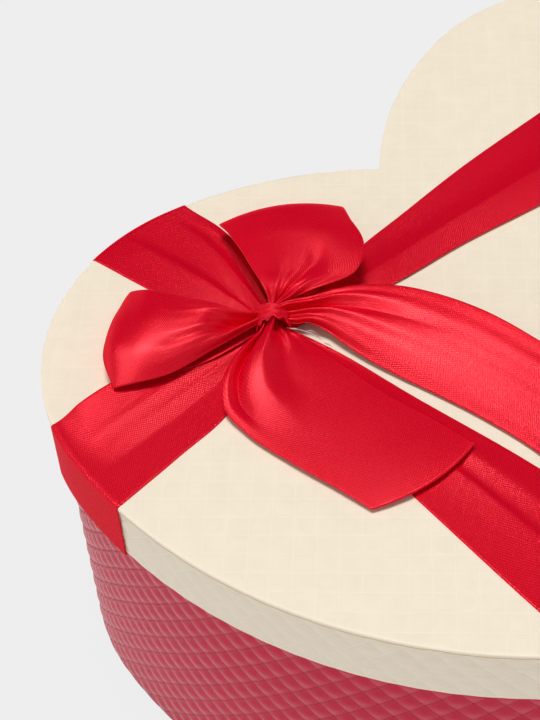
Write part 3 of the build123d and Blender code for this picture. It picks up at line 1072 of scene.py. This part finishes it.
class HEARTBOX_OT_skirt_wrap(bpy.types.Operator):
    """Wrap the lid's skirt in embossed cream paper"""

    bl_idname = "heartbox.skirt_wrap"
    bl_label = "Wrap the skirt"

    def execute(self, context):
        settings = context.scene.heart_papers
        corners = [(skirt_inside, lid_board_foot), (skirt_inside, skirt_foot)]
        corners += [(skirt_face, skirt_foot), (skirt_face, lid_top - paper)]
        wrap = wrapped_paper("skirt_paper", corners, skirt_face, settings.skirt_relief, settings)
        place_piece(wrap, "lid", "lid_skirt_wrap", "lid_paper", lid_stock(settings, True))
        return {"FINISHED"}


class HEARTBOX_OT_lid_sheet(bpy.types.Operator):
    """Cover the lid with its embossed cream sheet"""

    bl_idname = "heartbox.lid_sheet"
    bl_label = "Cover the lid"

    def execute(self, context):
        settings = context.scene.heart_papers
        fibre, depth, roughness = 0.4 * MM, 0.05 * MM, 0.9
        cut = plain_stock("cut paper edge", settings.cut_colour, fibre, depth, roughness)
        sheet = lid_sheet("lid_paper", settings)
        place_piece(sheet, "lid", "lid_top_sheet", "lid_paper", lid_stock(settings, False), cut)
        return {"FINISHED"}


class HEARTBOX_OT_boards(bpy.types.Operator):
    """Finish the boards, the linings and the sheet under the base"""

    bl_idname = "heartbox.boards"
    bl_label = "Finish boards and linings"

    def execute(self, context):
        settings = context.scene.heart_papers
        # Size of the fibres, depth of the tooth and roughness
        board_feel = (1.2 * MM, 0.06 * MM, 0.92)
        lining_feel = (0.8 * MM, 0.02 * MM, 0.75)
        finishes = {
            "greyboard": plain_stock("greyboard", settings.board_colour, *board_feel),
            "lining_paper": plain_stock("white lining paper", settings.lining_colour, *lining_feel),
            "base_paper": base_stock(settings, False),
        }
        for part in frame["record"]["subparts"]:
            node = frame["nodes"][part["node"]]
            if part["material_slot"] in finishes and not node.hide_render:
                node.data.materials.clear()
                node.data.materials.append(finishes[part["material_slot"]])
        return {"FINISHED"}


class HEARTBOX_OT_straps(bpy.types.Operator):
    """Lay the two satin straps over the lid and tuck their ends under the skirt"""

    bl_idname = "heartbox.straps"
    bl_label = "Lay the straps"

    def execute(self, context):
        settings = context.scene.heart_ribbon
        width = settings.width
        drift = 8 * MM
        lift = settings.thickness + 0.1 * MM
        flat = (0, 0)
        lobe_ways = rim_ways(0, -knot[0], width, "before")
        flank_ways = rim_ways(0, -knot[0], width, "after")
        left_ways = rim_ways(1, knot[1], width, "after")
        right_ways = rim_ways(1, knot[1] - drift, width, "after")
        lobe = strap_arm(lobe_ways, True, 0, lobe_ribs, lobe_pleats, flat, 0, settings, 60)
        flank = strap_arm(flank_ways, True, 0.7, flank_ribs, flank_pleats, flat, 0, settings, 120)
        left = strap_arm(left_ways, True, 0, left_ribs, left_pleats, (0.3, 3.5), lift, settings, 60)
        right = strap_arm(right_ways, False, 0, right_ribs, right_pleats, flat, lift, settings, 140)
        straps = [
            ("strap_lengthwise", lobe, flank, "lengthwise_strap", 0.345),
            ("strap_crosswise", left, right, "crosswise_strap", 0.384),
        ]
        for name, first, second, node, length in straps:
            grid = np.concatenate([first, second[-2::-1]])
            ribbon_piece(name, grid, node, settings)
        return {"FINISHED"}


class HEARTBOX_OT_bow_loops(bpy.types.Operator):
    """Shape the two loops of the bow"""

    bl_idname = "heartbox.bow_loops"
    bl_label = "Shape the loops"

    def execute(self, context):
        settings = context.scene.heart_ribbon
        left = bow_sheet(left_loop_ribs, left_loop_pleats, left_loop_dimples, True, settings)
        upper = bow_sheet(upper_loop_ribs, upper_loop_pleats, upper_loop_dimples, True, settings)
        loops = [
            ("loop_left", left, "bow_left_loop", "strap_crosswise", 0.097),
            ("loop_upper", upper, "bow_upper_loop", "strap_lengthwise", 0.102),
        ]
        for name, grid, node, below, length in loops:
            ribbon_piece(name, grid, node, settings)
        return {"FINISHED"}


class HEARTBOX_OT_bow_tails(bpy.types.Operator):
    """Shape the two tails of the bow"""

    bl_idname = "heartbox.bow_tails"
    bl_label = "Shape the tails"

    def execute(self, context):
        settings = context.scene.heart_ribbon
        end_bow, rows = 3.4, 100
        short = bow_sheet(short_tail_ribs, short_tail_pleats, [], False, settings, end_bow, rows)
        long = bow_sheet(long_tail_ribs, long_tail_pleats, [], False, settings)
        tails = [
            ("tail_short", short, "bow_short_tail", "strap_lengthwise", 0.079),
            ("tail_long", long, "bow_long_tail", "lid_paper", 0.121),
        ]
        for name, grid, node, below, length in tails:
            ribbon_piece(name, grid, node, settings)
        return {"FINISHED"}


class HEARTBOX_OT_knot(bpy.types.Operator):
    """Wind the knot over the middle of the bow"""

    bl_idname = "heartbox.knot"
    bl_label = "Wind the knot"

    def execute(self, context):
        settings = context.scene.heart_ribbon
        band = knot_band()
        ribbon_piece("knot_band", band, "bow_knot", settings)
        return {"FINISHED"}


class HEARTBOX_OT_glue(bpy.types.Operator):
    """Put the set glue beside the knot"""

    bl_idname = "heartbox.glue"
    bl_label = "Set the glue"

    def execute(self, context):
        glue = set_glue(context.scene.heart_ribbon.glue_colour)
        place_piece(glue_shreds("glue_shreds"), "lid", "glue_dab", "glue", glue)
        return {"FINISHED"}


class HEARTBOX_OT_stage(bpy.types.Operator):
    """Set the camera, the floor and the light"""

    bl_idname = "heartbox.stage"
    bl_label = "Set the stage"

    def execute(self, context):
        scene = context.scene
        settings = scene.heart_stage
        scene.view_settings.view_transform = "Standard"
        place_camera(scene, settings)
        lay_floor(settings)
        light_room(scene, settings)
        hang_softbox(scene, settings)
        return {"FINISHED"}


class HEARTBOX_PT_panel(bpy.types.Panel):
    """Heart gift box"""

    bl_idname = "HEARTBOX_PT_panel"
    bl_label = "Heart gift box"
    bl_space_type = "VIEW_3D"
    bl_region_type = "UI"
    bl_category = "Heart Box"

    def draw(self, context):
        column = self.layout.column()
        for operator in operators:
            column.operator(operator.bl_idname)
        for name in ("heart_papers", "heart_ribbon", "heart_stage"):
            group = getattr(context.scene, name)
            for key in group.__annotations__:
                column.prop(group, key)


operators = (
    HEARTBOX_OT_base_wrap,
    HEARTBOX_OT_skirt_wrap,
    HEARTBOX_OT_lid_sheet,
    HEARTBOX_OT_straps,
    HEARTBOX_OT_bow_loops,
    HEARTBOX_OT_bow_tails,
    HEARTBOX_OT_knot,
    HEARTBOX_OT_glue,
    HEARTBOX_OT_boards,
    HEARTBOX_OT_stage,
)
classes = (PaperSettings, RibbonSettings, StageSettings, *operators, HEARTBOX_PT_panel)


def register():
    for each in classes:
        bpy.utils.register_class(each)
    bpy.types.Scene.heart_papers = PointerProperty(type=PaperSettings)
    bpy.types.Scene.heart_ribbon = PointerProperty(type=RibbonSettings)
    bpy.types.Scene.heart_stage = PointerProperty(type=StageSettings)


def unregister():
    del bpy.types.Scene.heart_stage
    del bpy.types.Scene.heart_ribbon
    del bpy.types.Scene.heart_papers
    for each in reversed(classes):
        bpy.utils.unregister_class(each)


def main():
    register()
    bpy.ops.heartbox.base_wrap()
    bpy.ops.heartbox.skirt_wrap()
    bpy.ops.heartbox.lid_sheet()
    bpy.ops.heartbox.straps()
    bpy.ops.heartbox.bow_loops()
    bpy.ops.heartbox.bow_tails()
    bpy.ops.heartbox.knot()
    bpy.ops.heartbox.glue()
    bpy.ops.heartbox.boards()
    bpy.ops.heartbox.stage()


if __name__ == "__main__":
    main()
